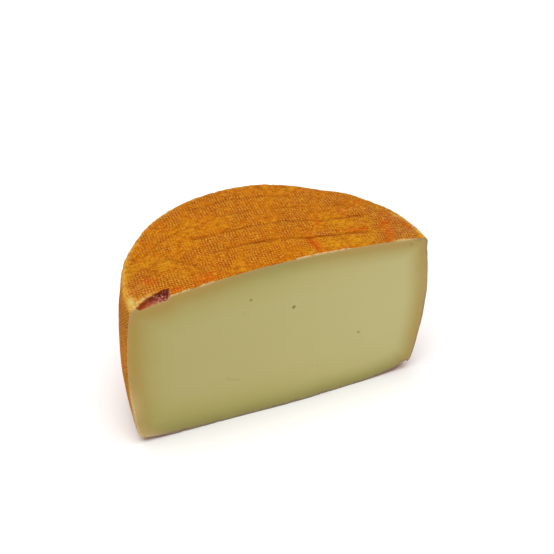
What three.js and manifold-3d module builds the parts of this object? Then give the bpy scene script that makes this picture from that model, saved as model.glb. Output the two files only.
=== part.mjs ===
// Half of a round pressed cheese, cut through its middle and standing on its base.
// One solid: the rind grows out of the paste, so the two are a single piece.
// Millimetres, +Z up. The cut face looks along -Y, and the origin is the middle of the
// bounding box, on the surface that the cheese stands on.
import * as THREE from "three";
import { mergeVertices } from "three/addons/utils/BufferGeometryUtils.js";
import Module from "manifold-3d";

// The wheel before it was cut.
const wheelRadius = 100; // at the widest part of the bulging heel
const topRimInset = 3.5; // the heel's upper rim, in from the widest part
const baseRimInset = 6.5; // the heel's lower rim, in from the widest part
const heelHeight = 100; // from the lower rim to the upper rim
const bulgeDrop = 50; // the widest part, below the upper rim
const topCrown = 8.2; // the middle of the top, above its rim
const topCrownPower = 2.2; // 2 is a parabola, more is flatter in the middle
const baseRiseWidth = 38.5; // the ring of the base that curves up, inside its rim
const baseRise = 6.3; // the base rim, above the flat of the base
const baseRisePower = 1.55; // 1 is a cone, more turns up later
const rimRound = 3.2; // how far each rim's rounding reaches along its two sides

// A leaf-shaped scoop in the top rim, where a fold of rind came away at the cut.
const scoop = {
  fromRim: 13.5, // its middle, in from the top rim, along the cut
  halfLength: 11.5,
  halfWidth: 7,
  depth: 2.8,
  rise: 1.5, // its middle, above the rind
  turn: 0.12, // radians from the cut edge
};

// Small eyes in the cut face: side is from the wheel's axis, below is from the crown.
const eyes = [
  { side: -21.8, below: 22.4, radius: 1.1 },
  { side: 6.7, below: 36, radius: 1.4 },
  { side: 53, below: 70.6, radius: 1.2 },
];

// What follows from those sizes.
const topRimRadius = wheelRadius - topRimInset;
const baseRimRadius = wheelRadius - baseRimInset;
const restRadius = baseRimRadius - baseRiseWidth; // the base is flat out to here
const bulgeHeight = heelHeight - bulgeDrop; // the widest part, above the lower rim
const wheelTop = baseRise + heelHeight + topCrown;
const cutY = -wheelRadius / 2; // the cut passes through the wheel's axis

// How finely the round shapes are faceted.
const roundSteps = 72; // round a whole wheel
const profileSteps = { base: 8, heel: 7, top: 12, rim: 5 }; // heel is for each half of it
const hollowSteps = { round: 24, high: 12 };
const mergeGap = 1e-4; // points closer than this are one point
const cutterPast = 10; // the cutting block reaches this far past the wheel

const wasm = await Module();
wasm.setup();

function topZ(radius) {
  return wheelTop - topCrown * (radius / topRimRadius) ** topCrownPower;
}

function baseZ(radius) {
  const out = Math.max(0, (radius - restRadius) / (baseRimRadius - restRadius));
  return baseRise * out ** baseRisePower;
}

// The heel's radius at a height above the base rim: two parabolas that meet at the bulge.
function heelRadius(height) {
  const rim = height > bulgeHeight ? topRimRadius : baseRimRadius;
  const reach = height > bulgeHeight ? heelHeight - bulgeHeight : bulgeHeight;
  return wheelRadius - (wheelRadius - rim) * ((height - bulgeHeight) / reach) ** 2;
}

// Evenly spaced points of a curve given as a function, ends included.
function sampled(from, to, steps, pointAt) {
  return Array.from({ length: steps + 1 }, (_, i) => pointAt(THREE.MathUtils.lerp(from, to, i / steps)));
}

function wheelProfile() {
  const heelPoint = (h) => new THREE.Vector2(heelRadius(h), baseRise + h);
  const basePoint = (r) => new THREE.Vector2(r, baseZ(r));
  const topPoint = (r) => new THREE.Vector2(r, topZ(r));
  const base = sampled(restRadius, baseRimRadius - rimRound, profileSteps.base, basePoint);
  const heel = [
    ...sampled(rimRound, bulgeHeight, profileSteps.heel, heelPoint),
    ...sampled(bulgeHeight, heelHeight - rimRound, profileSteps.heel, heelPoint).slice(1),
  ];
  const top = sampled(topRimRadius - rimRound, 0, profileSteps.top, topPoint);
  const baseRim = new THREE.QuadraticBezierCurve(base.at(-1), heelPoint(0), heel[0]);
  const topRim = new THREE.QuadraticBezierCurve(heel.at(-1), heelPoint(heelHeight), top[0]);
  return [
    new THREE.Vector2(0, 0),
    ...base,
    ...baseRim.getPoints(profileSteps.rim).slice(1, -1),
    ...heel,
    ...topRim.getPoints(profileSteps.rim).slice(1, -1),
    ...top,
  ];
}

// A closed geometry, moved to its place, as a manifold-3d solid.
function solidOf(geometry, place = new THREE.Matrix4()) {
  const bare = geometry.clone().applyMatrix4(place);
  bare.deleteAttribute("normal");
  bare.deleteAttribute("uv");
  const merged = mergeVertices(bare, mergeGap);
  return new wasm.Manifold(
    new wasm.Mesh({
      numProp: 3,
      vertProperties: merged.attributes.position.array,
      triVerts: new Uint32Array(merged.index.array),
    }),
  );
}

function wholeWheel() {
  const place = new THREE.Matrix4().makeTranslation(0, cutY, 0);
  place.multiply(new THREE.Matrix4().makeRotationX(Math.PI / 2));
  return solidOf(new THREE.LatheGeometry(wheelProfile(), roundSteps), place);
}

// What lies behind the cut, as a block that reaches past the wheel on its other sides.
function behindTheCut() {
  const width = 2 * (wheelRadius + cutterPast);
  const depth = wheelRadius + cutterPast;
  const height = wheelTop + 2 * cutterPast;
  const place = new THREE.Matrix4().makeTranslation(0, cutY + depth / 2, wheelTop / 2);
  return solidOf(new THREE.BoxGeometry(width, depth, height), place);
}

function ellipsoid(halfX, halfY, halfZ, x, y, z, turn = 0) {
  const place = new THREE.Matrix4().makeTranslation(x, y, z);
  place.multiply(new THREE.Matrix4().makeRotationZ(turn));
  place.multiply(new THREE.Matrix4().makeScale(halfX, halfY, halfZ));
  return solidOf(new THREE.SphereGeometry(1, hollowSteps.round, hollowSteps.high), place);
}

function rindScoop() {
  const radius = topRimRadius - scoop.fromRim;
  const z = topZ(radius) + scoop.rise;
  const halfHeight = scoop.depth + scoop.rise;
  return ellipsoid(scoop.halfLength, scoop.halfWidth, halfHeight, -radius, cutY, z, scoop.turn);
}

function eyeHollow(eye) {
  return ellipsoid(eye.radius, eye.radius, eye.radius, eye.side, cutY, wheelTop - eye.below);
}

function halfWheelGeometry() {
  let half = wholeWheel().intersect(behindTheCut()).subtract(rindScoop());
  for (const eye of eyes) half = half.subtract(eyeHollow(eye));
  const mesh = half.getMesh();
  const geometry = new THREE.BufferGeometry();
  geometry.setAttribute("position", new THREE.BufferAttribute(mesh.vertProperties, 3));
  geometry.setIndex(new THREE.BufferAttribute(mesh.triVerts, 1));
  geometry.computeVertexNormals();
  return geometry;
}

const halfWheel = new THREE.Mesh(
  halfWheelGeometry(),
  new THREE.MeshStandardMaterial({ color: "#dcb968", roughness: 0.6, metalness: 0 }),
);
halfWheel.name = "cheese_half_wheel";

const cheese = new THREE.Group();
cheese.add(halfWheel);
export default cheese;
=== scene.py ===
# Half of a round pressed cheese: one closed mesh, with a cloth-marked rind and a cut face of paste.
# The mesh is made in millimetres with the wheel's axis at x = 0, y = 0 and the cut along y = 0,
# and it is moved into the frame, in metres, once it is finished.
from bisect import bisect_right
from math import atan2, cos, exp, hypot, inf, pi, radians, sin, sqrt

import bmesh
import bpy
from mathutils import Matrix, Vector, noise
from mathutils.geometry import interpolate_bezier


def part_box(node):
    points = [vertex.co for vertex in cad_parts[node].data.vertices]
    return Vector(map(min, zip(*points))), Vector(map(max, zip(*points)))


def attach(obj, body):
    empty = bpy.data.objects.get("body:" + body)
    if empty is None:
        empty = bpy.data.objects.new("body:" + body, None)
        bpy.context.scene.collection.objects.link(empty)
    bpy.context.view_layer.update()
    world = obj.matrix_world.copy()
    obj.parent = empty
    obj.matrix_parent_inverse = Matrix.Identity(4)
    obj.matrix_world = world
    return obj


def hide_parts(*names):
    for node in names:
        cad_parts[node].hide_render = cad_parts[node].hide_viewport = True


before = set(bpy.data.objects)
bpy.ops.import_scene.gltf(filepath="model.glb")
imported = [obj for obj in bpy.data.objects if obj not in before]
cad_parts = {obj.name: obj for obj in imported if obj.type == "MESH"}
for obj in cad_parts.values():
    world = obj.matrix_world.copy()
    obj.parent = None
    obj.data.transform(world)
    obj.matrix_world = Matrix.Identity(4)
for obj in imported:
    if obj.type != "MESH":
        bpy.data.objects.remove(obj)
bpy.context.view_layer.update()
lowCorner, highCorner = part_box("cheese_half_wheel")
mm = 0.001
tiny = 1e-6


# Small helpers.

def fade(value, start, end):
    # 0 at start, 1 at end, smooth between them; start may be the larger
    share = min(1, max(0, (value - start) / (end - start)))
    return share * share * (3 - 2 * share)


def hump(value, middle, reach):
    return exp(-(((value - middle) / reach) ** 2))


def noiseAt(x, y, z, size, shift=0):
    return noise.noise(Vector((x / size + shift, y / size - shift, z / size + 2 * shift)))


# The wheel's round shape, in millimetres.

wheel = {
    "radius": (highCorner.x - lowCorner.x) / 2 / mm,
    "height": (highCorner.z - lowCorner.z) / mm,
    "topRimInset": 3.5,
    "baseRimInset": 6.5,
    "bulgeDrop": 50,  # the widest part, below the upper rim
    "topCrown": 8.2,
    "topCrownPower": 2.2,
    "baseRise": 6.3,
    "baseRiseWidth": 38.5,
    "baseRisePower": 1.55,
    "rimRound": 3.2,
}
grid = {
    "across": 200,
    "deep": 96,
    "high": 72,
    "crowdToCut": 1.22,  # above 1 the squares are smaller near the cut
    "outlineSteps": 40,  # for each of the top, the heel and the base
    "rimPoints": 17,  # odd, so that one of them is the middle of the rim
    "relaxPasses": 40,
}
topRim = wheel["radius"] - wheel["topRimInset"]
baseRim = wheel["radius"] - wheel["baseRimInset"]
topRimHeight = wheel["height"] - wheel["topCrown"]
bulgeHeight = topRimHeight - wheel["bulgeDrop"]


def topHeight(radius):
    return wheel["height"] - wheel["topCrown"] * (radius / topRim) ** wheel["topCrownPower"]


def baseHeight(radius):
    out = max(0, 1 - (baseRim - radius) / wheel["baseRiseWidth"])
    return wheel["baseRise"] * out ** wheel["baseRisePower"]


def heelRadius(height):
    inset, edge = (wheel["topRimInset"], topRimHeight)
    if height < bulgeHeight:
        inset, edge = (wheel["baseRimInset"], wheel["baseRise"])
    return wheel["radius"] - inset * ((height - bulgeHeight) / (edge - bulgeHeight)) ** 2


def evenly(start, end, steps):
    return [start + (end - start) * i / steps for i in range(steps + 1)]


def rimCurve(start, corner, end):
    # a quadratic curve, written as the cubic that Blender has
    start, corner, end = Vector(start), Vector(corner), Vector(end)
    handles = (start.lerp(corner, 2 / 3), end.lerp(corner, 2 / 3))
    return interpolate_bezier(start, *handles, end, grid["rimPoints"])


# The outline from the middle of the top, over the heel, to the middle of the base, with its
# length so far, and how far along it the middles of the two rims are.
def outline():
    reach, steps = wheel["rimRound"], grid["outlineSteps"]
    top = [(r, topHeight(r)) for r in evenly(0, topRim - reach, steps)]
    heel = [(heelRadius(h), h) for h in evenly(topRimHeight - reach, wheel["baseRise"] + reach, steps)]
    base = [(r, baseHeight(r)) for r in evenly(baseRim - reach, 0, steps)]
    upper = rimCurve(top[-1], (topRim, topRimHeight), heel[0])
    lower = rimCurve(heel[-1], (baseRim, wheel["baseRise"]), base[0])
    points = [Vector(p) for p in top] + upper[1:-1] + [Vector(p) for p in heel] + lower[1:-1]
    points += [Vector(p) for p in base]
    lengths = [0]
    for before, after in zip(points, points[1:]):
        lengths.append(lengths[-1] + (after - before).length)
    upperMiddle = len(top) + grid["rimPoints"] // 2 - 1
    lowerMiddle = upperMiddle + grid["rimPoints"] - 2 + len(heel)
    return points, lengths, (lengths[upperMiddle], lengths[lowerMiddle])


outlinePoints, outlineLengths, (upperRimAt, lowerRimAt) = outline()
outlineEnd = outlineLengths[-1]


def outlineAt(length):
    i = min(max(bisect_right(outlineLengths, length), 1), len(outlineLengths) - 1)
    before, after = outlineLengths[i - 1], outlineLengths[i]
    return outlinePoints[i - 1].lerp(outlinePoints[i], (length - before) / (after - before))


# A cube's surface point as a point of the half wheel: u is -1 to 1 across, v is 0 at the cut,
# w is 0 at the base. The cube's upper and lower edges become the middles of the rims.
def onWheel(u, v, w):
    if v == 0 and 0 < w < 1 and abs(u) < 1:
        return inCut(u, w)
    across, behind = u * sqrt(1 - v * v / 2), v * sqrt(1 - u * u / 2)
    out = hypot(across, behind)
    if w == 1:
        length = out * upperRimAt
    elif w == 0:
        length = outlineEnd - out * (outlineEnd - lowerRimAt)
    else:
        length = upperRimAt + (1 - w) * (lowerRimAt - upperRimAt)
    radius, height = outlineAt(length)
    out = max(out, 1e-9)
    return Vector((radius * across / out, radius * behind / out, height))


# Inside the cut face, a blend of its four edges keeps the squares even.
def inCut(u, w):
    side = 1 if u > 0 else -1
    top = outlineAt(abs(u) * upperRimAt)
    base = outlineAt(outlineEnd - abs(u) * (outlineEnd - lowerRimAt))
    heel = outlineAt(upperRimAt + (1 - w) * (lowerRimAt - upperRimAt))
    topCorner, baseCorner = outlineAt(upperRimAt), outlineAt(lowerRimAt)
    share = abs(u)
    x = w * top.x + (1 - w) * base.x + share * (heel.x - w * topCorner.x - (1 - w) * baseCorner.x)
    z = w * top.y + (1 - w) * base.y + share * (heel.y - w * topCorner.y - (1 - w) * baseCorner.y)
    return Vector((side * x, 0, z))


# Which side of the cube a face came from.
cutChart, topChart, heelChart, baseChart = range(4)


def chartOf(middle):
    if middle.y < tiny:
        return cutChart
    if middle.z > 1 - tiny:
        return topChart
    return baseChart if middle.z < tiny else heelChart


def halfWheelMesh():
    bm = bmesh.new()
    bmesh.ops.create_cube(bm, size=1, matrix=Matrix.Translation((0, 0.5, 0.5)))
    bmesh.ops.scale(bm, vec=(2, 1, 1), verts=bm.verts)
    for axis, name in enumerate(("across", "deep", "high")):
        along = [e for e in bm.edges if abs((e.verts[0].co - e.verts[1].co)[axis]) > 0.01]
        bmesh.ops.subdivide_edges(bm, edges=along, cuts=grid[name] - 1)
    chart = bm.faces.layers.int.new("chart")
    for face in bm.faces:
        face[chart] = chartOf(face.calc_center_median())
        face.material_index = 1 if face[chart] == cutChart else 0
        face.smooth = True
    for vert in bm.verts:
        u, v, w = vert.co
        v, w = (round(k, 6) for k in (v, w))
        u = max(-1, min(1, round(u, 6)))
        vert.co = onWheel(u, v ** grid["crowdToCut"], w)
    return bm, chart


# What the cloth, the shelf and the knife left on it.

rindShape = {
    "lumps": ((42, 0.5), (15, 0.22), (5, 0.08), (2.5, 0.05)),  # size and height of each
    "dents": (  # x, y, z, reach, and how far out of the true round shape
        (60, 0, 108, 26, -0.9),
        (-99, 0, 88, 22, 0.5),
        (99, 0, 66, 9, 0.6),
        (99, 0, 98, 8, -0.7),
        (98, 0, 30, 9, -0.5),
        (-90, 0, 4, 13, 1.5),
        (-90, 43, 54, 50, -0.65),
        (38, 88, 106, 14, -0.7),
        (82, 48, 106, 12, -0.8),
        (-73, 62, 106, 9, -0.5),
        (58, 76, 106, 17, -1.6),
    ),
    # the cut's lower edge swells forward
    "bow": {"at": 12, "across": 36, "high": 20, "deep": 9, "out": 1.5},
    "foldWidth": 1.0,
    "foldDepth": 0.6,
    "puffHeight": 0.4,  # the cloth puffs out between two folds
    "overlapHeight": 0.3,
    "pleats": 47,  # round half the rim
    "pleatHeight": 0.2,
    "pleatReach": 9,
    "seamTurn": 118,  # degrees round the heel, where the cloth overlaps itself
    "seamHeight": 0.45,
}
# Folds of the cloth on the top: how strong each is, and its corners, x along the cut and y behind it.
foldLines = [
    (0.45, ((-22, 63), (10, 60), (36, 53), (49, 50), (61, 47), (69, 43))),
    (0.75, ((-40, 44), (-8, 43), (20, 39), (39, 33.6), (52, 32.6), (67, 31.6))),
    (1.0, ((-34, 26), (-6, 25), (10, 22), (23.5, 18.4), (40, 16.4), (53, 15.4), (66, 14.6))),
    (0.45, ((17, 27), (23, 18), (23.6, 10), (24.8, 3.4))),
    (0.35, ((43, 21), (43.4, 9), (43, 1))),
    (0.6, ((-30, 78), (-6, 80), (22, 74), (40, 66))),
    (0.6, ((-62, 34), (-50, 20), (-46, 8))),
    (0.6, ((-72, 44), (-60, 52), (-38, 60))),
]
overlapLine = ((80, 52), (75, 43), (70, 33), (65, 21), (60, 12), (57, 5), (55, -4))
# Patches of colour on the top: x, y, half length, half width, turn in degrees, strength.
rindPatches = {
    "brown": (
        # the first two darken the left of the top: partly the rind's own brown, partly painted shade
        (-80, 24, 15, 14, 0, 0.6), (-66, 12, 14, 10, 0, 0.4), (86, 20, 16, 10, 60, 0.65),
        (56, 51, 6, 4, 0, 0.5),
    ),
    "gold": (
        (36, 8, 11, 6.5, 0, 1.0), (56, 6, 12, 5, 0, 0.9), (50, 26.5, 14, 4.2, -3, 0.8),
        (66.5, 22, 11, 1.3, 66, 0.9), (60.5, 11, 6, 1.4, 50, 0.7), (81, 41, 6, 3, -62, 0.8),
        (90.5, 24, 5, 1.6, -72, 0.8), (93.5, 6, 7, 1.5, -80, 0.9), (19, 4, 4, 5, 0, 0.9),
        (-64, 14, 9, 6, 10, 0.45), (-88, 29, 9, 2.2, 68, 0.8), (-68, 26, 8, 3, 20, 0.3),
        (-89, 8, 6, 1.6, 20, 0.5),
    ),
    "red": (
        (23.8, 10, 9, 2.9, 97, 1.0), (36, 31, 5, 1.5, 60, 0.7), (73, 8.5, 11, 2.6, 70, 0.95),
        (76, 19.5, 5, 2.4, 60, 0.8), (89.7, 14.6, 2.6, 2, 0, 1.0), (86, 19, 3, 1.3, 0, 0.6),
        (56, 18, 9, 1.8, -3, 0.6), (83, 31, 3, 2, 0, 0.5), (-78.6, 18, 3.2, 4.5, 20, 0.85),
        # the red at x -48 is a painted glow of warm light bounced into shade
        (-66, 3.4, 4.5, 2.2, 0, 0.7), (-48, 5, 6, 3.4, 0, 0.7), (40, 1.2, 6, 1, 0, 0.7),
        (-90.5, 13, 3, 3, 0, 0.5),
    ),
    "tan": (
        (83, 7, 8, 7, 30, 0.8), (87, 21, 3, 6, 20, 0.4), (-86, 15, 7, 6, 0, 0.5), (74, 38, 4, 7, 20, 0.4),
    ),
    "pink": (
        (84.2, 24.2, 4.2, 3, -20, 0.9), (32, 20.2, 5.5, 1.1, -5, 0.6), (88, 9.3, 1.8, 2, 0, 0.5),
        (79, 30, 3, 2, 0, 0.4), (53, 12.6, 5, 1.2, 0, 0.4), (60, 40, 8, 2, 0, 0.3),
        (-78.5, 0, 5, 2.4, 0, 0.9),
    ),
    "pale": ((-93.2, 6.2, 5.4, 2.3, 84, 1.0), (-91.5, 3.8, 3, 2.2, 20, 0.8)),
    "cream": ((79, 0.6, 4.5, 0.8, 0, 0.9), (93.6, 9, 6, 1.1, -80, 0.6), (87.5, 28, 5, 0.9, -68, 0.4)),
}
# Patches round the heel, and on its cut corner: colour, x, y, z, reach, strength.
heelPatches = (
    ("gold", -98, 8, 78, 36, 0.5), ("tan", -94, 0, 10, 20, 1.0), ("cream", -95, 0, 14, 14, 0.6),
    ("brown", -70, 70, 40, 26, 0.5), ("gold", -50, 86, 78, 22, 0.6), ("red", -20, 98, 44, 20, 0.5),
    ("tan", 8, 99, 84, 18, 0.6), ("gold", 30, 95, 34, 24, 0.6), ("brown", 55, 83, 70, 22, 0.5),
    ("tan", 74, 66, 24, 20, 0.7), ("gold", 88, 46, 62, 22, 0.6), ("red", 97, 20, 84, 16, 0.5),
    # the brown at x -97, high on the heel by the cut, is painted shade
    ("pink", 60, 79, 48, 9, 0.25), ("brown", -97, 6, 94, 13, 0.45), ("tan", 97, 10, 30, 18, 0.6),
    ("brown", -30, 60, 0, 24, 0.6), ("gold", 34, 40, 0, 26, 0.6), ("tan", -60, 24, 0, 18, 0.6),
    ("tan", 60, 62, 2, 16, 0.6),
)
tear = {  # where a fold of rind came away: its rim as corners, open towards the cut
    "corners": (
        (-94.8, -0.8), (-90.0, 2.0), (-85.4, 4.3), (-79.9, 5.9), (-74.3, 7.2), (-70.2, 6.9), (-73.4, -2.3),
    ),
    "depth": 2.3,
    "wall": 1.7,
    "pits": 0.45,
    "lipHeight": 0.7,
    "lipMiddle": -1.4,
    "lipReach": 1.4,
    "lipEnds": (-91, -74),  # wide and pale at the first, gone at the second
}
burr = {  # ragged paste that the knife dragged up along the top of the cut: x from, x to
    "spans": ((-71, -60), (-54, -46), (8, 42), (75, 88)),
    "height": 0.45,
    "reach": 0.8,
}
# Bits broken off the base's edge at the cut: x from, x to, height.
chips = (
    (-67, -63, 1.0), (-63, -52, 0.4), (-44, -41, 0.5), (6, 12, 0.3), (28, 35, 0.4), (86.5, 91.5, 1.9),
)


def lineGap(x, y, line):
    # the gap to a line of straight pieces, and which side: positive is to its left
    best, side = inf, 0
    for (ax, ay), (bx, by) in zip(line, line[1:]):
        dx, dy = bx - ax, by - ay
        share = min(1, max(0, ((x - ax) * dx + (y - ay) * dy) / (dx * dx + dy * dy)))
        gap = hypot(x - ax - share * dx, y - ay - share * dy)
        if gap < best:
            best, side = gap, dx * (y - ay) - dy * (x - ax)
    return best, side


def span(value, start, end, edge):
    # 1 between start and end, 0 past them
    return fade(value, start - edge, start) * fade(value, end + edge, end)


def patchAt(x, y, patches):
    most = 0
    for px, py, length, width, turn, strength in patches:
        if abs(x - px) > 20 or abs(y - py) > 20:
            continue
        along = (x - px) * cos(radians(turn)) + (y - py) * sin(radians(turn))
        across = (y - py) * cos(radians(turn)) - (x - px) * sin(radians(turn))
        most = max(most, strength * hump(along, 0, length) * hump(across, 0, width))
    return most


def insideTear(x, y):
    # how far inside the tear's rim a point lies, with its right side and without; below 0 it is outside
    gaps = []
    for (ax, ay), (bx, by) in zip(tear["corners"], tear["corners"][1:]):
        dx, dy = bx - ax, by - ay
        gaps.append(-(dx * (y - ay) - dy * (x - ax)) / hypot(dx, dy))
    return min(gaps), min(gaps[:-1])


def foldsAt(x, y):
    # the height that the folds and the overlap add, how dark the crease is (its own red and painted
    # shade), the painted highlight on the puffed cloth below it, and how covered it is
    wavyX = x + 1.2 * noiseAt(x, y, 3, 11)
    wavyY = y + 1.2 * noiseAt(x, y, 9, 11, 5)
    fold = puff = puffHighlight = 0
    for strength, line in foldLines:
        gap, side = lineGap(wavyX, wavyY, line)
        here = strength * (0.7 + 0.6 * noiseAt(x, y, 1, 17, 3))
        fold = max(fold, here * hump(gap, 0, rindShape["foldWidth"]))
        puff = max(puff, here * hump(gap, 3.2, 2.2))
        if side < 0:
            puffHighlight = max(puffHighlight, here * hump(gap, 2.5, 3))
    gap, side = lineGap(wavyX, wavyY, overlapLine)
    overlap = fade(gap if side > 0 else -gap, -0.8, 0.8) if x > 40 else 0
    fold *= 1 - 0.6 * overlap
    height = puff * rindShape["puffHeight"] - fold * rindShape["foldDepth"]
    return height + overlap * rindShape["overlapHeight"], fold, puffHighlight, overlap


def refineTop(bm, chart):
    # a finer net under the tear and along the top of the cut
    def fine(middle):
        return middle.y < 1.6 or (-97 < middle.x < -68 and middle.y < 12)

    faces = [f for f in bm.faces if f[chart] == topChart and fine(f.calc_center_median())]
    edges = {e for f in faces for e in f.edges}
    bmesh.ops.subdivide_edges(bm, edges=list(edges), cuts=1, use_grid_fill=True)


def outwardAt(vert):
    # outward from the rind, as if the cut were not there
    outward = vert.normal.copy()
    if vert.co.y < tiny:
        behind = next(e.other_vert(vert) for e in vert.link_edges if e.other_vert(vert).co.y > tiny)
        outward = Vector((behind.normal.x, 0, behind.normal.z))
    return outward.normalized()


def sculptRind(bm, chart):
    names = ("fold", "overlap", "torn", "tornAcross", "rim", *rindPatches)
    layer = {name: bm.verts.layers.float.new(name) for name in names}
    bm.normal_update()
    rind = {v for f in bm.faces if f[chart] for v in f.verts}
    moves = {}
    for vert in rind:
        x, y, z = vert.co
        out = hypot(x, y)
        outward = outwardAt(vert)
        height = sum(h * noiseAt(x, y, z, s, s) for s, h in rindShape["lumps"])
        for dx, dy, dz, reach, rise in rindShape["dents"]:
            height += rise * hump(hypot(x - dx, y - dy, z - dz), 0, reach)
        onTop = fade(z, topRimHeight - 6, topRimHeight - 1) * (1 if outward.z > 0 else 0)
        # the cloth's pleats below the rim, and its one seam
        nearRim = hump(out, topRim, rindShape["pleatReach"]) * fade(z, 62, 102)
        turn = atan2(y, x) / pi * rindShape["pleats"] + 1.5 * noiseAt(x, y, z, 16, 8)
        pleat = nearRim * fade(noiseAt(x, y, z, 14, 2), -0.3, 0.6) * sin(2 * pi * turn)
        height += pleat * rindShape["pleatHeight"]
        seamGap = radians(rindShape["seamTurn"]) - atan2(y, x) + 0.012 * noiseAt(x, y, z, 21, 4)
        seam = fade(seamGap * out, -0.8, 0.8) * fade(seamGap * out, 26, 0) * (1 - onTop) * fade(z, 4, 9)
        height += seam * rindShape["seamHeight"]
        # painted shade: the hollows between pleats and the seam's edge are darkened
        vert[layer["fold"]] = 0.7 * max(0, -pleat) + 0.7 * hump(seamGap * out, -0.9, 0.7) * (1 - onTop)
        vert[layer["rim"]] = rimWearAndHighlight(x, y, z, out)
        move = outward * height
        if onTop > 0:
            raised, fold, puffHighlight, overlap = foldsAt(x, y)
            move += outward * raised * onTop
            vert[layer["fold"]] = max(vert[layer["fold"]], fold * onTop)
            vert[layer["overlap"]] = overlap * onTop
            for name, patches in rindPatches.items():
                vert[layer[name]] = onTop * patchAt(x, y, patches)
            # painted highlight: the puffed cloth below each fold is made golden
            vert[layer["gold"]] = max(vert[layer["gold"]], 0.55 * puffHighlight * onTop)
            move.z += tearAt(vert, layer, x, y)
            edge = max(span(x, a, b, 1.5) for a, b in burr["spans"]) * hump(y, 0, burr["reach"])
            ragged = max(0, 0.65 + 1.1 * noiseAt(x, y, 2, 2.4, 6))
            move.z += edge * ragged * burr["height"]
            vert[layer["cream"]] = max(vert[layer["cream"]], min(1, edge * ragged))
        for name, px, py, pz, reach, strength in heelPatches:
            patch = strength * hump(hypot(x - px, y - py, z - pz), 0, reach) * (1 - onTop)
            vert[layer[name]] = max(vert[layer[name]], patch)
        if z < wheel["baseRise"] + 2:
            chip = max(h * span(x, a, b, 0.5) for a, b, h in chips) * hump(y, 0, 2)
            move.z += chip
        move.z = max(move.z, -z)  # nothing goes below what it stands on
        move.y -= bowAt(x, y, z)
        moves[vert] = move
    for vert, move in moves.items():
        vert.co += move
    return rind


def bowAt(x, y, z):
    bow = rindShape["bow"]
    forward = bow["out"] * hump(x, bow["at"], bow["across"])
    return forward * hump(z, 0, bow["high"]) * hump(y, 0, bow["deep"])


def rimWearAndHighlight(x, y, z, out):
    # the rims are made paler: partly wear, partly a painted highlight where the rounded edge catches the
    # light
    patchy = fade(noiseAt(x, y, z, 9, 13) + 0.5 * noiseAt(x, y, z, 2.5, 7), -0.35, 0.3)
    upper = hump(hypot(out - topRim + 0.9, z - topRimHeight), 0.5, 1.9)
    lower = 0.6 * hump(hypot(out - baseRim, z - wheel["baseRise"]), 0, 1.8)
    return max(upper, lower) * (0.45 + 0.55 * patchy)


def tearAt(vert, layer, x, y):
    # how far the tear lowers or lifts the top here
    wavyX = x + 0.5 * noiseAt(x, y, 5, 2.2)
    wavyY = y + 0.5 * noiseAt(x, y, 7, 2.2, 1)
    inside, underLip = insideTear(wavyX, wavyY)
    deep = fade(inside, 0, tear["wall"])
    pits = tear["pits"] * noiseAt(x, y, 4, 1.6) * deep * fade(y, 0, 1.5)
    vert[layer["torn"]] = fade(inside + 0.5 * noiseAt(x, y, 4, 1.1, 9), -0.2, 0.6)
    vert[layer["tornAcross"]] = fade(x, -88, -75)
    # painted shadow: the torn rind just under the upper wall is darkened, as the lip shades it
    wall = fade(inside, -0.6, 0.2) * hump(underLip, 0.2, 0.6) * fade(x, -95, -82)
    vert[layer["fold"]] = max(vert[layer["fold"]], wall)
    start, end = tear["lipEnds"]
    lip = hump(underLip, tear["lipMiddle"], tear["lipReach"]) * fade(x, end, start) * fade(x, -97, -94)
    if x > end or underLip > 0.5:
        lip = 0
    lip *= 0.8 + 0.9 * noiseAt(x, y, 6, 2.1, 3)
    # the lip is made golden and cream: partly the rind's own pale colour, partly a painted highlight on
    # the raised ridge
    vert[layer["cream"]] = max(vert[layer["cream"]], min(1, 0.75 * lip))
    vert[layer["gold"]] = max(vert[layer["gold"]], min(1, lip))
    return lip * tear["lipHeight"] - deep * tear["depth"] + pits


def relaxCut(bm, chart, rind):
    inner = [v for v in {v for f in bm.faces if not f[chart] for v in f.verts} if v not in rind]
    for _ in range(grid["relaxPasses"]):
        bmesh.ops.smooth_vert(bm, verts=inner, factor=0.5, use_axis_x=True, use_axis_z=True)


cutShape = {
    "eyes": (  # x, z, radius, depth
        (-21.8, 92.1, 1.0, 0.8), (6.7, 78.3, 1.3, 1.0), (53, 43.9, 1.1, 0.8),
        (-26, 83.2, 1.1, 0.3), (24.5, 25.5, 1.0, 0.25), (38, 8.5, 0.8, 0.25), (84.7, 104.4, 1.0, 0.45),
    ),
    "slit": ((-37.3, 35.2), (-33.5, 32.3), (-27.8, 30.8)),
    "slitWidth": 0.5,
    "slitDepth": 0.2,
    "ripples": ((28, 9, 0.10), (9, 2.5, 0.03)),  # length, height and depth of the knife's marks
    # pale paste at the heel: x, z, reach, strength
    "smears": ((-96, 32, 15, 0.9), (-92, 5, 13, 1.0), (99, 74, 16, 0.25)),
}


def eyeGap(x, z):
    return min(hypot(x - ex, z - ez) - r for ex, ez, r, _ in cutShape["eyes"])


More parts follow.
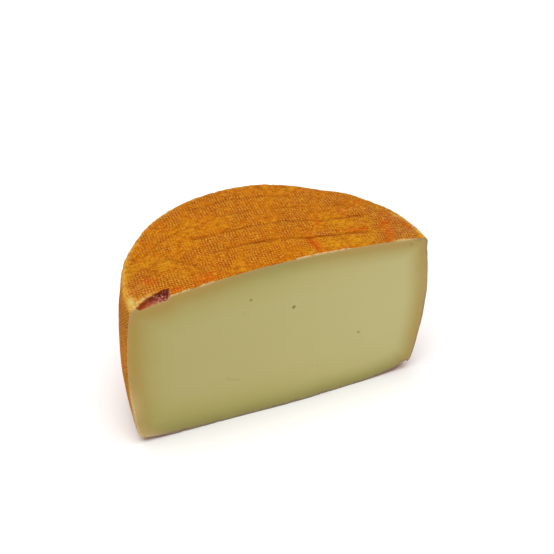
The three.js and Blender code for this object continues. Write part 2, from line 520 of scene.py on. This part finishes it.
def carveCut(bm, chart):
    pitShade = bm.verts.layers.float.new("pitShade")
    toRind = bm.verts.layers.float.new("toRind")
    olive = bm.verts.layers.float.new("olive")
    skinAndShadow = bm.verts.layers.float.new("skinAndShadow")
    cream = bm.verts.layers.float["cream"]

    def fineFaces(reach):
        for face in bm.faces:
            if face[chart]:
                continue
            x, _, z = face.calc_center_median()
            slitGap, _ = lineGap(x, z, cutShape["slit"])
            if eyeGap(x, z) < reach or slitGap < reach:
                yield face

    edges = {e for f in fineFaces(1.6) for e in f.edges}
    bmesh.ops.subdivide_edges(bm, edges=list(edges), cuts=3, use_grid_fill=True)
    border = [e for e in bm.edges if len({bool(f[chart]) for f in e.link_faces}) == 2]
    borderVerts = {v for e in border for v in e.verts}
    borderPoints = [v.co.copy() for v in borderVerts]
    for vert in {v for f in bm.faces if not f[chart] for v in f.verts}:
        x, _, z = vert.co
        vert[olive] = max(fade(z, 42, 22) * fade(abs(x), 97, 74), 0.7 * hump(x, -6, 30) * fade(z, 84, 100))
        # a thin dark line along the paste's edge: at the base partly the rind seen edge-on, partly a
        # painted contact shadow; on the right the rind's own line
        vert[skinAndShadow] = max(fade(z, 14, 5), 0.7 * fade(x, 84, 92))
        if vert in borderVerts:
            vert[toRind] = 0
            continue
        vert[toRind] = min(hypot(x - p.x, z - p.z) for p in borderPoints)
        vert[cream] = max(strength * hump(hypot(x - sx, z - sz), 0, reach)
                          for sx, sz, reach, strength in cutShape["smears"])
        inward = 0
        # painted shade: the paste inside the eyes and the slit is darkened
        for ex, ez, radius, depth in cutShape["eyes"]:
            gap = hypot(x - ex, z - ez) / radius
            if gap < 1:
                inward = max(inward, depth * sqrt(1 - gap * gap))
                vert[pitShade] = max(vert[pitShade], (1 - gap * gap) * min(1, depth))
        slitGap, _ = lineGap(x, z, cutShape["slit"])
        inward += cutShape["slitDepth"] * hump(slitGap, 0, cutShape["slitWidth"])
        vert[pitShade] = max(vert[pitShade], 0.3 * hump(slitGap, 0, cutShape["slitWidth"]))
        away = fade(vert[toRind], 0, 6)
        for length, high, depth in cutShape["ripples"]:
            inward += away * depth * noise.noise(Vector((x / length, 7, z / high)))
        vert.co.y += inward - bowAt(x, 0, z)


clothTurn = {topChart: 38, baseChart: 12}  # degrees that the cloth is turned there
streakStretch = 0.3  # streaks run along the cut on the top, and up and down on the heel


def clothMap(bm, chart):
    # maps in centimetres, flat on the top and base and rolled round the heel: threads and streaks
    cloth = bm.loops.layers.uv.new("cloth")
    streaks = bm.loops.layers.uv.new("streaks")
    for face in bm.faces:
        turn = radians(clothTurn.get(face[chart], 0))
        for loop in face.loops:
            x, y, z = (k / 10 for k in loop.vert.co)
            if face[chart] == heelChart:
                along = atan2(y, x) * wheel["radius"] / 10
                loop[cloth].uv = (along, z)
                loop[streaks].uv = (along, z * 2 * streakStretch)
            else:
                loop[cloth].uv = (x * cos(turn) + y * sin(turn), y * cos(turn) - x * sin(turn))
                loop[streaks].uv = (x * streakStretch, y)


def makeCheese():
    bm, chart = halfWheelMesh()
    refineTop(bm, chart)
    print("half wheel grid", len(bm.faces))
    rind = sculptRind(bm, chart)
    relaxCut(bm, chart, rind)
    print("rind sculpted")
    carveCut(bm, chart)
    clothMap(bm, chart)
    print("cut face carved", len(bm.faces))
    for edge in bm.edges:
        edge.smooth = len({bool(f[chart]) for f in edge.link_faces}) < 2
    bm.faces.layers.int.remove(chart)
    bmesh.ops.scale(bm, vec=(mm, mm, mm), verts=bm.verts)
    bmesh.ops.translate(bm, vec=(0, lowCorner.y, lowCorner.z), verts=bm.verts)
    bmesh.ops.recalc_face_normals(bm, faces=bm.faces)
    mesh = bpy.data.meshes.new("halfCheeseWheel")
    bm.to_mesh(mesh)
    bm.free()
    cheese = bpy.data.objects.new("halfCheeseWheel", mesh)
    bpy.context.scene.collection.objects.link(cheese)
    return cheese


# Materials.

def addNode(tree, kind, inputs=(), **settings):
    made = tree.nodes.new("ShaderNode" + kind)
    for name, value in settings.items():
        setattr(made, name, value)
    for name, value in dict(inputs).items():
        if isinstance(value, bpy.types.NodeSocket):
            tree.links.new(value, made.inputs[name])
        else:
            made.inputs[name].default_value = value
    return made


def maths(tree, operation, *values):
    return addNode(tree, "Math", enumerate(values), operation=operation).outputs[0]


def blend(tree, share, below, above, mode="MIX"):
    mix = addNode(tree, "Mix", data_type="RGBA", blend_type=mode)
    for index, value in ((0, share), (6, below), (7, above)):
        if isinstance(value, bpy.types.NodeSocket):
            tree.links.new(value, mix.inputs[index])
        else:
            mix.inputs[index].default_value = value
    return mix.outputs[2]


def ranged(tree, value, low, high, toLow=0.0, toHigh=1.0):
    inputs = {"Value": value, "From Min": low, "From Max": high, "To Min": toLow, "To Max": toHigh}
    return addNode(tree, "MapRange", inputs, interpolation_type="SMOOTHSTEP").outputs[0]


def ramp(tree, share, stops, whole):
    made = addNode(tree, "ValToRGB", {0: share})
    elements = made.color_ramp.elements
    while len(elements) < len(stops):
        elements.new(0.5)
    for element, (place, colour) in zip(elements, stops):
        element.position, element.color = place / whole, colour
    return made.outputs[0]


def attribute(tree, name):
    return addNode(tree, "Attribute", attribute_name=name, attribute_type="GEOMETRY").outputs["Fac"]


def newGroup(name, inputs, outputs):
    group = bpy.data.node_groups.new(name, "ShaderNodeTree")
    for socketName, kind, value in inputs:
        socket = group.interface.new_socket(socketName, in_out="INPUT", socket_type="NodeSocket" + kind)
        if value is not None:
            socket.default_value = value
    for socketName, kind in outputs:
        group.interface.new_socket(socketName, in_out="OUTPUT", socket_type="NodeSocket" + kind)
    return group, group.nodes.new("NodeGroupInput").outputs, group.nodes.new("NodeGroupOutput").inputs


def useGroup(tree, group, inputs):
    made = addNode(tree, "Group", node_tree=group)
    for name, value in inputs.items():
        if isinstance(value, bpy.types.NodeSocket):
            tree.links.new(value, made.inputs[name])
        else:
            made.inputs[name].default_value = value
    return made.outputs


# Cloudy colour, from slow patches to fine speckle, between 0 and 1.
def makeMottle():
    group, given, out = newGroup(
        "mottle",
        [("Vector", "Vector", None), ("Patch Size", "Float", 0.02), ("Roughness", "Float", 0.6),
         ("Contrast", "Float", 1)],
        [("Mask", "Float")],
    )
    scale = maths(group, "DIVIDE", 1.0, given["Patch Size"])
    cloud = addNode(group, "TexNoise", {"Vector": given["Vector"], "Scale": scale, "Detail": 6.0,
                                        "Roughness": given["Roughness"], "Distortion": 0.4}).outputs["Fac"]
    centred = maths(group, "SUBTRACT", cloud, 0.5)
    spread = addNode(group, "Math", {0: centred, 1: given["Contrast"], 2: 0.5}, operation="MULTIPLY_ADD",
                     use_clamp=True).outputs[0]
    group.links.new(spread, out["Mask"])
    return group


# A plain weave pressed into the surface. Height is high on a thread, Dots marks where the threads
# cross on top, and Tone tells one thread from the next.
def makeWeave():
    group, given, out = newGroup(
        "weave",
        [("Vector", "Vector", None), ("Pitch", "Float", 0.15), ("Wobble", "Float", 0.06)],
        [("Height", "Float"), ("Dots", "Float"), ("Tone", "Float")],
    )
    cloud = addNode(group, "TexNoise", {"Vector": given["Vector"], "Scale": 1.3, "Detail": 5.0,
                                        "Roughness": 0.65}).outputs["Color"]
    bend = addNode(group, "VectorMath", {0: cloud, 1: (0.5, 0.5, 0.5)}, operation="SUBTRACT").outputs[0]
    bend = addNode(group, "VectorMath", {0: bend, "Scale": given["Wobble"]}, operation="SCALE").outputs[0]
    moved = addNode(group, "VectorMath", {0: given["Vector"], 1: bend}, operation="ADD").outputs[0]
    apart = addNode(group, "SeparateXYZ", {0: moved}).outputs
    beat = maths(group, "DIVIDE", pi, given["Pitch"])
    warp = maths(group, "SINE", maths(group, "MULTIPLY", apart[0], beat))
    weft = maths(group, "SINE", maths(group, "MULTIPLY", apart[1], beat))
    wide, narrow = maths(group, "ABSOLUTE", warp), maths(group, "ABSOLUTE", weft)
    # the print is uneven: deep here and faint there, and one set of threads shows more than the other
    uneven = addNode(group, "SeparateXYZ", {0: cloud}).outputs
    deep = ranged(group, uneven[0], 0.4, 0.6, 0.3, 1.0)
    over = maths(group, "MULTIPLY", maths(group, "MULTIPLY", warp, weft), deep)
    lean = ranged(group, uneven[1], 0.36, 0.64, -0.7, 0.7)
    over = maths(group, "MULTIPLY_ADD", maths(group, "SUBTRACT", wide, narrow), lean, over)
    dots = ranged(group, over, -0.6, 0.6)
    tall = maths(group, "MULTIPLY", maths(group, "MAXIMUM", wide, narrow), 0.5)
    height = maths(group, "MULTIPLY_ADD", dots, 0.5, tall)
    tones = []
    for squeeze in ((1, 0.14, 1), (0.14, 1, 1)):
        along = addNode(group, "VectorMath", {0: moved, 1: squeeze}, operation="MULTIPLY").outputs[0]
        scale = maths(group, "DIVIDE", 0.7, given["Pitch"])
        noisy = addNode(group, "TexNoise", {"Vector": along, "Scale": scale, "Detail": 2.0})
        tones.append(noisy.outputs["Fac"])
    tone = maths(group, "MULTIPLY", maths(group, "ADD", tones[0], tones[1]), 0.5)
    for value, name in ((height, "Height"), (dots, "Dots"), (tone, "Tone")):
        group.links.new(value, out[name])
    return group


# Fine grain for a bump, with its own size.
def makeGrain():
    group, given, out = newGroup(
        "grain", [("Vector", "Vector", None), ("Grain Size", "Float", 0.001)], [("Height", "Float")]
    )
    scale = maths(group, "DIVIDE", 1.0, given["Grain Size"])
    fine = addNode(group, "TexNoise", {"Vector": given["Vector"], "Scale": scale, "Detail": 3.0})
    group.links.new(fine.outputs["Fac"], out["Height"])
    return group


mottle, weave, grain = makeMottle(), makeWeave(), makeGrain()


def newMaterial(name):
    material = bpy.data.materials.new(name)
    material.use_nodes = True
    tree = material.node_tree
    tree.nodes.clear()
    place = addNode(tree, "TexCoord").outputs
    shader = addNode(tree, "BsdfPrincipled")
    output = addNode(tree, "OutputMaterial")
    tree.links.new(shader.outputs[0], output.inputs["Surface"])
    return material, tree, place, shader


rindColours = {
    "golden": (0.59, 0.175, 0.003, 1),
    "orange": (0.50, 0.115, 0.001, 1),
    "rust": (0.29, 0.050, 0.001, 1),
    "yellow": (0.66, 0.305, 0.010, 1),
    "red": (0.58, 0.07, 0.003, 1),
    "brown": (0.27, 0.07, 0.010, 1),
    "tan": (0.48, 0.235, 0.06, 1),
    "pink": (0.50, 0.15, 0.085, 1),
    "pale": (0.60, 0.48, 0.13, 1),
    "foldRedAndShade": (0.17, 0.022, 0.001, 1),
    "straw": (0.72, 0.39, 0.055, 1),
    "cream": (0.76, 0.55, 0.21, 1),
    "tornRed": (0.31, 0.048, 0.008, 1),
    "tornPurple": (0.15, 0.018, 0.014, 1),
    "tornShadow": (0.06, 0.012, 0.008, 1),
    "tornPink": (0.55, 0.24, 0.15, 1),
}
rindPattern = {
    "weavePitch": 0.125,  # centimetres of cloth from thread to thread
    "weaveWobble": 0.4,
    "streaks": {"Patch Size": 0.35, "Contrast": 3.6, "Roughness": 0.7},  # centimetres
    "fibres": {"Patch Size": 0.1, "Contrast": 4.5, "Roughness": 0.7},
    "slow": {"Patch Size": 0.02, "Contrast": 3.0},  # metres
    "quick": {"Patch Size": 0.0035, "Contrast": 3.6, "Roughness": 0.7},
    "specks": {"Patch Size": 0.0016, "Contrast": 4.0},
}
# Which paint each patch of the rind is given, in this order.
patchPaints = {"brown": "brown", "gold": "yellow", "red": "red", "tan": "tan", "pink": "pink"}


def rindMaterial():
    material, tree, place, shader = newMaterial("clothRind")
    spot, cloth = place["Object"], place["UV"]
    streakMap = addNode(tree, "UVMap", uv_map="streaks").outputs[0]

    def cloudy(name, where):
        return useGroup(tree, mottle, {"Vector": where, **rindPattern[name]})["Mask"]

    slow, quick, specks = (cloudy(name, spot) for name in ("slow", "quick", "specks"))
    streaks, fibres = (cloudy(name, streakMap) for name in ("streaks", "fibres"))
    threads = useGroup(tree, weave, {"Vector": cloth, "Pitch": rindPattern["weavePitch"],
                                     "Wobble": rindPattern["weaveWobble"]})

    def tint(colour, share, name, strength=1.0):
        if strength != 1:
            share = maths(tree, "MULTIPLY", share, strength)
        return blend(tree, share, colour, rindColours[name])

    warm = maths(tree, "MULTIPLY_ADD", streaks, 0.5, maths(tree, "MULTIPLY", slow, 0.6))
    colour = blend(tree, warm, rindColours["golden"], rindColours["orange"])
    colour = tint(colour, attribute(tree, "overlap"), "brown", 0.4)
    patchy = ranged(tree, quick, 0.1, 0.7, 0.55, 1.0)
    for name, paint in patchPaints.items():
        colour = tint(colour, maths(tree, "MULTIPLY", attribute(tree, name), patchy), paint)
    colour = tint(colour, ranged(tree, slow, 0.5, 1.0, 0, 0.45), "rust")
    colour = tint(colour, ranged(tree, slow, 0.45, 0.05, 0, 0.4), "yellow")
    colour = tint(colour, ranged(tree, streaks, 0.55, 1.0, 0, 0.6), "rust")
    colour = tint(colour, ranged(tree, quick, 0.5, 1.0, 0, 0.55), "rust")
    colour = tint(colour, ranged(tree, quick, 0.4, 0.0, 0, 0.55), "yellow")
    colour = tint(colour, ranged(tree, threads["Tone"], 0.5, 0.7, 0, 0.4), "yellow")
    colour = tint(colour, ranged(tree, threads["Tone"], 0.5, 0.3, 0, 0.55), "rust")
    colour = tint(colour, ranged(tree, fibres, 0.5, 1.0, 0, 0.75), "rust")
    colour = tint(colour, ranged(tree, fibres, 0.4, 0.0, 0, 0.6), "yellow")
    woven = maths(tree, "MAXIMUM", ranged(tree, slow, 0.25, 0.8, 0.3, 1.0), attribute(tree, "tan"))
    woven = maths(tree, "MULTIPLY", woven, ranged(tree, specks, 0.2, 0.7, 0.4, 1.0))
    lit = maths(tree, "MULTIPLY", ranged(tree, threads["Dots"], 0.5, 1.0, 0, 0.6), woven)
    colour = tint(colour, lit, "straw")
    shaded = maths(tree, "MULTIPLY", ranged(tree, threads["Dots"], 0.5, 0.0, 0, 1.0), woven)
    colour = tint(colour, shaded, "rust")
    colour = tint(colour, maths(tree, "MULTIPLY", attribute(tree, "red"), patchy), "red", 0.5)
    # creases, pleat hollows, the seam and the tear's wall darken: partly the rind's own red, partly
    # painted shade
    colour = tint(colour, attribute(tree, "fold"), "foldRedAndShade", 0.85)
    # rim wear and painted highlight on the rims
    wornAndLit = maths(tree, "MULTIPLY", attribute(tree, "rim"), ranged(tree, specks, 0.8, 0.4, 0.4, 1.0))
    wornAndLit = maths(tree, "MULTIPLY", wornAndLit, ranged(tree, threads["Dots"], 0.0, 0.7, 0.6, 1.0))
    colour = tint(colour, wornAndLit, "straw")
    paled = maths(tree, "MULTIPLY", attribute(tree, "pale"), ranged(tree, specks, 0.95, 0.45, 0.0, 1.0))
    colour = tint(colour, paled, "pale")
    creamy = maths(tree, "MULTIPLY", attribute(tree, "cream"), ranged(tree, specks, 0.85, 0.45, 0.15, 1.0))
    colour = tint(colour, creamy, "cream")
    raw = blend(tree, attribute(tree, "tornAcross"), rindColours["tornRed"], rindColours["tornPurple"])
    # painted shadow along the tear's upper wall
    raw = tint(raw, attribute(tree, "fold"), "tornShadow", 0.7)
    pinkish = maths(tree, "MULTIPLY", ranged(tree, specks, 0.55, 0.85, 0, 0.8),
                    maths(tree, "MULTIPLY_ADD", attribute(tree, "tornAcross"), 0.75, 0.25))
    raw = tint(raw, pinkish, "tornPink")
    pinkPatch = maths(tree, "MULTIPLY", attribute(tree, "pink"), ranged(tree, specks, 0.1, 0.6, 0.3, 1.0))
    raw = tint(raw, pinkPatch, "tornPink")
    colour = blend(tree, attribute(tree, "torn"), colour, raw)
    tree.links.new(colour, shader.inputs["Base Color"])
    fine = useGroup(tree, grain, {"Vector": spot, "Grain Size": 0.0007})["Height"]
    height = maths(tree, "MULTIPLY_ADD", threads["Height"], 0.6, maths(tree, "MULTIPLY", fine, 0.5))
    bump = addNode(tree, "Bump", {"Height": height, "Strength": 0.7, "Distance": 0.0006})
    tree.links.new(bump.outputs[0], shader.inputs["Normal"])
    roughness = ranged(tree, quick, 0.0, 1.0, 0.7, 0.9)
    tree.links.new(roughness, shader.inputs["Roughness"])
    shader.inputs["Specular IOR Level"].default_value = 0.03
    shader.inputs["Subsurface Weight"].default_value = 0.04
    shader.inputs["Subsurface Scale"].default_value = 0.002
    return material


# How the paste darkens towards the rind: millimetres from it, and the colour there.
pasteColours = {
    "ramp": (
        (0, (0.47, 0.305, 0.088, 1)),
        (2, (0.445, 0.287, 0.068, 1)),
        (4.5, (0.432, 0.294, 0.062, 1)),
        (6.5, (0.436, 0.308, 0.072, 1)),
        (8.5, (0.441, 0.324, 0.081, 1)),
        (11, (0.447, 0.346, 0.098, 1)),
        (15, (0.459, 0.374, 0.112, 1)),
        (20, (0.468, 0.405, 0.135, 1)),
        (30, (0.482, 0.423, 0.157, 1)),
    ),
    "olive": (
        (0, (0.33, 0.275, 0.105, 1)),
        (2.5, (0.344, 0.291, 0.085, 1)),
        (6, (0.369, 0.329, 0.088, 1)),
        (8, (0.385, 0.345, 0.094, 1)),
        (11, (0.410, 0.362, 0.100, 1)),
        (15, (0.435, 0.380, 0.108, 1)),
        (20, (0.455, 0.400, 0.122, 1)),
        (30, (0.482, 0.423, 0.150, 1)),
    ),
    "pale": (0.58, 0.52, 0.222, 1),
    "skinAndShadow": (0.25, 0.185, 0.11, 1),
    "cream": (0.70, 0.54, 0.25, 1),
    "pitShade": (0.33, 0.28, 0.085, 1),
}


def pasteMaterial():
    material, tree, place, shader = newMaterial("pressedPaste")
    spot = place["Object"]
    cloud = useGroup(tree, mottle, {"Vector": spot, "Patch Size": 0.025, "Contrast": 2.0})["Mask"]
    deepest = pasteColours["ramp"][-1][0]
    wavy = maths(tree, "MULTIPLY_ADD", cloud, 2.0, maths(tree, "SUBTRACT", attribute(tree, "toRind"), 1.0))
    share = maths(tree, "DIVIDE", wavy, deepest)
    colour = blend(tree, attribute(tree, "olive"), ramp(tree, share, pasteColours["ramp"], deepest),
                   ramp(tree, share, pasteColours["olive"], deepest))
    side = addNode(tree, "SeparateXYZ", {0: spot}).outputs[0]
    # painted light: the paste grows paler towards the right side, as if lit more from there, with a faint
    # mottle
    sideLightAndMottle = maths(tree, "MULTIPLY_ADD", cloud, 0.08, ranged(tree, side, -0.09, 0.12, 0.0, 0.85))
    inner = ranged(tree, attribute(tree, "toRind"), 2, 18, 0.1, 1.0)
    colour = blend(tree, maths(tree, "MULTIPLY", sideLightAndMottle, inner), colour, pasteColours["pale"])
    specks = useGroup(tree, mottle, {"Vector": spot, "Patch Size": 0.0025, "Contrast": 3.0})["Mask"]
    frayed = maths(tree, "MULTIPLY_ADD", specks, -1.6, maths(tree, "ADD", attribute(tree, "toRind"), 0.8))
    # the thin dark line at the paste's edge, with its painted contact shadow at the base
    thin = maths(tree, "MULTIPLY", attribute(tree, "skinAndShadow"), ranged(tree, frayed, 2.1, 0.5))
    colour = blend(tree, thin, colour, pasteColours["skinAndShadow"])
    soft = ranged(tree, attribute(tree, "toRind"), 10, 0, 0, 0.45)
    smear = maths(tree, "MAXIMUM", ranged(tree, frayed, 2.6, 0.6), soft)
    smear = maths(tree, "MULTIPLY", attribute(tree, "cream"), smear)
    colour = blend(tree, smear, colour, pasteColours["cream"])
    # painted shade in the eyes and the slit
    colour = blend(tree, attribute(tree, "pitShade"), colour, pasteColours["pitShade"])
    tree.links.new(colour, shader.inputs["Base Color"])
    fine = useGroup(tree, grain, {"Vector": spot, "Grain Size": 0.0009})["Height"]
    bump = addNode(tree, "Bump", {"Height": fine, "Strength": 0.25, "Distance": 0.0003})
    tree.links.new(bump.outputs[0], shader.inputs["Normal"])
    shader.inputs["Roughness"].default_value = 0.45
    shader.inputs["Specular IOR Level"].default_value = 0.25
    shader.inputs["Subsurface Weight"].default_value = 0.25
    shader.inputs["Subsurface Radius"].default_value = (1.0, 0.8, 0.4)
    shader.inputs["Subsurface Scale"].default_value = 0.004
    return material


cheese = makeCheese()
cheese.data.materials.append(rindMaterial())
cheese.data.materials.append(pasteMaterial())
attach(cheese, "root")
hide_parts("cheese_half_wheel")
print("materials on")


# Floor, light and camera.

def makeFloor():
    bm = bmesh.new()
    bmesh.ops.create_grid(bm, x_segments=1, y_segments=1, size=30)
    mesh = bpy.data.meshes.new("floor")
    bm.to_mesh(mesh)
    bm.free()
    floor = bpy.data.objects.new("floor", mesh)
    bpy.context.scene.collection.objects.link(floor)
    material, tree, place, shader = newMaterial("paleFloor")
    shader.inputs["Base Color"].default_value = (0.97, 0.97, 0.97, 1)
    shader.inputs["Roughness"].default_value = 0.9
    shader.inputs["Specular IOR Level"].default_value = 0
    mesh.materials.append(material)
    return floor


light = {"sunStrength": 3.0, "sunSpread": 62, "sunTurn": (6, -6, 0), "sky": 0.34, "front": 0.22}


def makeLight():
    sun = bpy.data.objects.new("softbox", bpy.data.lights.new("softbox", "SUN"))
    sun.data.energy = light["sunStrength"]
    sun.data.angle = radians(light["sunSpread"])
    sun.rotation_euler = [radians(a) for a in light["sunTurn"]]
    bpy.context.scene.collection.objects.link(sun)
    world = bpy.data.worlds.new("studio")
    world.use_nodes = True
    tree = world.node_tree
    background = tree.nodes["Background"]
    facing = addNode(tree, "SeparateXYZ", {0: addNode(tree, "TexCoord").outputs["Generated"]}).outputs
    behind = maths(tree, "MULTIPLY_ADD", facing[2], 0.5, facing[1])
    strength = ranged(tree, behind, -0.4, 0.8, light["front"], light["sky"])
    seen = addNode(tree, "LightPath").outputs["Is Camera Ray"]  # the backdrop is plain white to look at
    strength = maths(tree, "MAXIMUM", strength, seen)
    tree.links.new(strength, background.inputs["Strength"])
    background.inputs["Color"].default_value = (1, 1, 1, 1)
    bpy.context.scene.world = world


view = {
    "lens": 82.1,
    "distance": 0.777,
    "aimHeight": 0.4891,  # of the cheese's height
    "azimuth": -25.65,
    "elevation": 40.43,
    "roll": 2.42,
    "lookUp": 2.76,
    "lookLeft": 0.26,
}


def makeCamera():
    camera = bpy.data.objects.new("camera", bpy.data.cameras.new("camera"))
    bpy.context.scene.collection.objects.link(camera)
    bpy.context.scene.camera = camera
    camera.data.lens = view["lens"]
    camera.data.clip_start, camera.data.clip_end = 0.01, 100
    target = Vector((0, lowCorner.y, lowCorner.z + view["aimHeight"] * (highCorner.z - lowCorner.z)))
    facing = (Matrix.Rotation(radians(view["azimuth"]), 4, "Z")
              @ Matrix.Rotation(radians(90 - view["elevation"]), 4, "X")
              @ Matrix.Rotation(radians(view["roll"]), 4, "Z"))
    spot = target + view["distance"] * facing.col[2].xyz
    aim = (Matrix.Rotation(radians(view["lookUp"]), 4, "X")
           @ Matrix.Rotation(radians(view["lookLeft"]), 4, "Y"))
    camera.matrix_world = Matrix.Translation(spot) @ facing @ aim


makeFloor()
makeLight()
makeCamera()
bpy.context.scene.view_settings.view_transform = "Standard"  # colours come out as they are set
print("floor, light and camera set")
